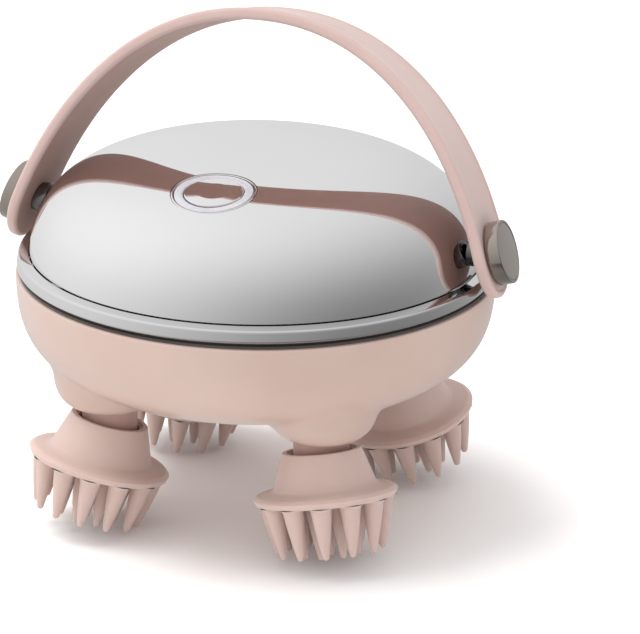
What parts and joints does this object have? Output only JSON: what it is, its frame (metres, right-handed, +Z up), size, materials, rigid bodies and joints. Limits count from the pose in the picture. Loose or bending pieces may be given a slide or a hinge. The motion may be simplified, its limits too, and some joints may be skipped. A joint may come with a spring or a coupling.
{
  "type": "electric scalp massager",
  "caption": "Round hand-held scalp massager with a mirror dome, push button, swinging strap handle and splayed kneading heads that a gear train turns together.",
  "frame": {"origin": "on the surface the lowest tine tips stand on, under the centre of the round body", "axes": "+Z up, +X along the handle's pivots towards the right stud, -Y towards the power button's side"},
  "size_m": [0.1198, 0.106, 0.1136],
  "materials": {
    "shell": "satin beige pink",
    "seal_rubber": "dark rubber",
    "trim_chrome": "polished",
    "dome_chrome": "mirror polished",
    "button_chrome": "mirror polished",
    "light_guide": "milky translucent",
    "switch_plastic": "black moulded",
    "board": "green solder mask",
    "lamp_lens": "clear yellow",
    "screw_steel": "plated",
    "cell_wrap": "shrink wrap",
    "motor_can": "plated can",
    "shaft_steel": "ground steel",
    "pinion_brass": "machined",
    "gear_plastic": "natural acetal",
    "frame_plastic": "moulded",
    "strap_silicone": "soft matte dusty pink",
    "head_silicone": "soft matte dusty pink",
    "neck_silicone": "soft matte dusty pink",
    "stud_metal": "satin gunmetal, polished chamfer",
    "spacer_steel": "polished"
  },
  "bodies": {
    "housing": {"lower_housing": "shell", "housing_seal": "seal_rubber", "trim_ring": "trim_chrome", "dome_cover": "dome_chrome", "button_bezel": "trim_chrome", "light_ring": "light_guide", "button_switch": "switch_plastic", "circuit_board": "board", "indicator_lamps": "lamp_lens", "board_screws": "screw_steel", "battery": "cell_wrap", "motor": "motor_can", "idler_axle": "shaft_steel", "sun_axle": "shaft_steel", "gear_base_plate": "frame_plastic", "gear_cover_plate": "frame_plastic", "plate_screws": "screw_steel", "charging_socket": "switch_plastic", "neck_sleeve_1": "neck_silicone", "neck_sleeve_2": "neck_silicone", "neck_sleeve_3": "neck_silicone", "neck_sleeve_4": "neck_silicone"},
    "button": {"power_button": "button_chrome"},
    "handle": {"strap": "strap_silicone", "left_stud": "stud_metal", "right_stud": "stud_metal", "left_spacer": "spacer_steel", "right_spacer": "spacer_steel"},
    "sun": {"sun_gear": "gear_plastic"},
    "idler": {"idler_gear": "gear_plastic"},
    "pinion": {"motor_pinion": "pinion_brass", "motor_shaft": "shaft_steel"},
    "output_1": {"output_gear_1": "gear_plastic", "output_shaft_1": "shaft_steel", "head_hub_1": "gear_plastic", "massage_head_1": "head_silicone"},
    "output_2": {"output_gear_2": "gear_plastic", "output_shaft_2": "shaft_steel", "head_hub_2": "gear_plastic", "massage_head_2": "head_silicone"},
    "output_3": {"output_gear_3": "gear_plastic", "output_shaft_3": "shaft_steel", "head_hub_3": "gear_plastic", "massage_head_3": "head_silicone"},
    "output_4": {"output_gear_4": "gear_plastic", "output_shaft_4": "shaft_steel", "head_hub_4": "gear_plastic", "massage_head_4": "head_silicone"}
  },
  "joints": [
    {"name": "handle_swing", "type": "hinge", "parent": "housing", "child": "handle", "pos_m": [0, 0, 0.06526], "axis": [1, 0, 0], "range_deg": [-32, 59]},
    {"name": "button_press", "type": "slide", "parent": "housing", "child": "button", "axis": [0, 0.1696, -0.9855], "range_m": [0, 0.0008], "stiffness_N_per_m": 1500},
    {"name": "sun_spin", "type": "hinge", "parent": "housing", "child": "sun", "pos_m": [0, 0, 0.04346], "axis": [0, 0, 1], "continuous": true},
    {"name": "idler_spin", "type": "hinge", "parent": "housing", "child": "idler", "pos_m": [0, -0.0315, 0.04346], "axis": [0, 0, 1], "continuous": true},
    {"name": "motor_spin", "type": "hinge", "parent": "housing", "child": "pinion", "pos_m": [0, -0.0171, 0.04746], "axis": [0, 0, 1], "continuous": true},
    {"name": "head_1_spin", "type": "hinge", "parent": "housing", "child": "output_1", "pos_m": [0.02475, 0.02475, 0.04346], "axis": [0, 0, 1], "continuous": true},
    {"name": "head_2_spin", "type": "hinge", "parent": "housing", "child": "output_2", "pos_m": [-0.02475, 0.02475, 0.04346], "axis": [0, 0, 1], "continuous": true},
    {"name": "head_3_spin", "type": "hinge", "parent": "housing", "child": "output_3", "pos_m": [-0.02475, -0.02475, 0.04346], "axis": [0, 0, 1], "continuous": true},
    {"name": "head_4_spin", "type": "hinge", "parent": "housing", "child": "output_4", "pos_m": [0.02475, -0.02475, 0.04346], "axis": [0, 0, 1], "continuous": true}
  ],
  "couplings": [
    {"joint": "idler_spin", "follows": "sun_spin", "ratio": -3.2},
    {"joint": "motor_spin", "follows": "sun_spin", "ratio": 9.6},
    {"joint": "head_1_spin", "follows": "sun_spin", "ratio": -2.1818},
    {"joint": "head_2_spin", "follows": "sun_spin", "ratio": -2.1818},
    {"joint": "head_3_spin", "follows": "sun_spin", "ratio": -2.1818},
    {"joint": "head_4_spin", "follows": "sun_spin", "ratio": -2.1818}
  ]
}
